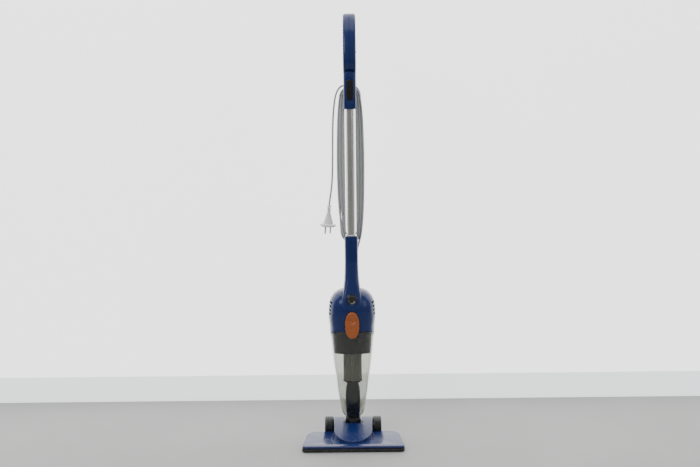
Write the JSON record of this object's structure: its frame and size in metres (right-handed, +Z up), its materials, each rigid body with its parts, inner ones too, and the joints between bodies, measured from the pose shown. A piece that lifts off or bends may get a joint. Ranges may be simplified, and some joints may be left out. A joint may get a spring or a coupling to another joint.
{
  "type": "upright vacuum cleaner",
  "caption": "Corded upright stick vacuum cleaner: wide floor head on a tilting neck, clear tapered dust cup under a domed motor housing, steel tube and loop handle with the cord wound behind.",
  "frame": {"origin": "middle of the floor head's rear glide bar, on the floor, under the upright tube's axis", "axes": "+X to the right as seen from the front, -Y towards the front, +Z up along the tube; left and right in node names are as seen from the front"},
  "size_m": [0.2634, 0.1892, 1.1086],
  "materials": {
    "blue_gloss_plastic": "glossy moulded ABS",
    "black_plastic": "satin moulded",
    "smoked_clear_plastic": "clear, smoke grey, glossy",
    "orange_plastic": "satin moulded",
    "brushed_steel": "drawn and brushed",
    "black_rubber": "matt",
    "filter_media": "pleated paper",
    "copper_windings": "lacquered wire",
    "grey_cord": "smooth PVC sheath",
    "white_plug": "moulded PVC",
    "bristle": "nylon bristle strip"
  },
  "bodies": {
    "floor_head": {"head_base": "black_plastic", "head_top_shell": "blue_gloss_plastic", "bumper_strip": "black_rubber", "brush_strip_front": "bristle", "brush_strip_rear": "bristle", "sole_screw_left": "brushed_steel", "sole_screw_right": "brushed_steel", "yoke_cover": "blue_gloss_plastic", "axle_left": "brushed_steel", "axle_right": "brushed_steel"},
    "left_wheel": {"wheel_left": "black_plastic", "tyre_left": "black_rubber"},
    "right_wheel": {"wheel_right": "black_plastic", "tyre_right": "black_rubber"},
    "neck": {"elbow": "black_plastic"},
    "dust_cup": {"cup_shell": "smoked_clear_plastic", "inlet_duct": "black_plastic"},
    "flap": {"inlet_flap": "black_rubber"},
    "motor_unit": {"housing_front": "blue_gloss_plastic", "housing_rear": "blue_gloss_plastic", "tube_socket": "blue_gloss_plastic", "intake_plate": "black_plastic", "fan_cover": "brushed_steel", "motor_base": "black_plastic", "motor_can": "brushed_steel", "stator_core": "brushed_steel", "bearing_lower": "brushed_steel", "bearing_upper": "brushed_steel", "motor_mount": "black_rubber", "switch_block": "black_plastic", "button_bezel": "blue_gloss_plastic", "power_spring": "brushed_steel", "latch_pin": "brushed_steel", "latch_spring": "brushed_steel", "strain_relief": "black_rubber", "extension_tube": "brushed_steel", "handle_socket": "blue_gloss_plastic", "grip_left": "blue_gloss_plastic", "grip_right": "blue_gloss_plastic", "grip_screw": "brushed_steel", "handle_spring": "brushed_steel", "upper_cord_hook": "blue_gloss_plastic", "lower_cord_hook": "blue_gloss_plastic", "cord_lead": "grey_cord", "cord_winding": "grey_cord", "cord_tail": "grey_cord", "plug_relief": "white_plug", "plug_body": "white_plug", "plug_pin_left": "brushed_steel", "plug_pin_right": "brushed_steel"},
    "filter": {"filter_frame": "black_plastic", "cup_gasket": "black_rubber", "filter_media": "filter_media", "filter_cap": "black_plastic"},
    "rotor": {"motor_shaft": "brushed_steel", "impeller": "brushed_steel", "armature": "copper_windings"},
    "start_button": {"power_button": "black_plastic"},
    "cup_latch": {"latch_lever": "orange_plastic"},
    "release_button": {"handle_button": "black_plastic"}
  },
  "joints": [
    {"name": "neck_tilt", "type": "hinge", "parent": "floor_head", "child": "neck", "pos_m": [0, 0.038, 0.0262], "axis": [-1, 0, 0], "range_deg": [0, 80]},
    {"name": "wheel_left_spin", "type": "hinge", "parent": "floor_head", "child": "left_wheel", "pos_m": [-0.0633, 0.038, 0.0262], "axis": [1, 0, 0], "continuous": true},
    {"name": "wheel_right_spin", "type": "hinge", "parent": "floor_head", "child": "right_wheel", "pos_m": [0.0633, 0.038, 0.0262], "axis": [1, 0, 0], "continuous": true},
    {"name": "cup_lift", "type": "slide", "parent": "neck", "child": "dust_cup", "axis": [0, 0, 1], "range_m": [0, 0.06]},
    {"name": "filter_lift", "type": "slide", "parent": "dust_cup", "child": "filter", "axis": [0, 0, 1], "range_m": [0, 0.14]},
    {"name": "unit_off", "type": "slide", "parent": "filter", "child": "motor_unit", "axis": [0, 0, 1], "range_m": [0, 0.04]},
    {"name": "flap_swing", "type": "hinge", "parent": "dust_cup", "child": "flap", "pos_m": [0, 0.0462, 0.1433], "axis": [-1, 0, 0], "range_deg": [0, 30]},
    {"name": "rotor_spin", "type": "hinge", "parent": "motor_unit", "child": "rotor", "pos_m": [0, 0.008, 0.32], "axis": [0, 0, 1], "continuous": true},
    {"name": "start_button_press", "type": "slide", "parent": "motor_unit", "child": "start_button", "axis": [0, 0.9744, -0.225], "range_m": [0, 0.0025], "stiffness_N_per_m": 800, "springref_m": -0.001, "deforming": ["power_spring"]},
    {"name": "cup_latch_rock", "type": "hinge", "parent": "motor_unit", "child": "cup_latch", "pos_m": [0, -0.0413, 0.3284], "axis": [-1, 0, 0], "range_deg": [0, 6], "stiffness_Nm_per_rad": 0.5, "springref_deg": -2.86, "deforming": ["latch_spring"]},
    {"name": "release_button_press", "type": "slide", "parent": "motor_unit", "child": "release_button", "axis": [0, 1, 0], "range_m": [0, 0.002], "stiffness_N_per_m": 800, "springref_m": -0.001, "deforming": ["handle_spring"]}
  ]
}
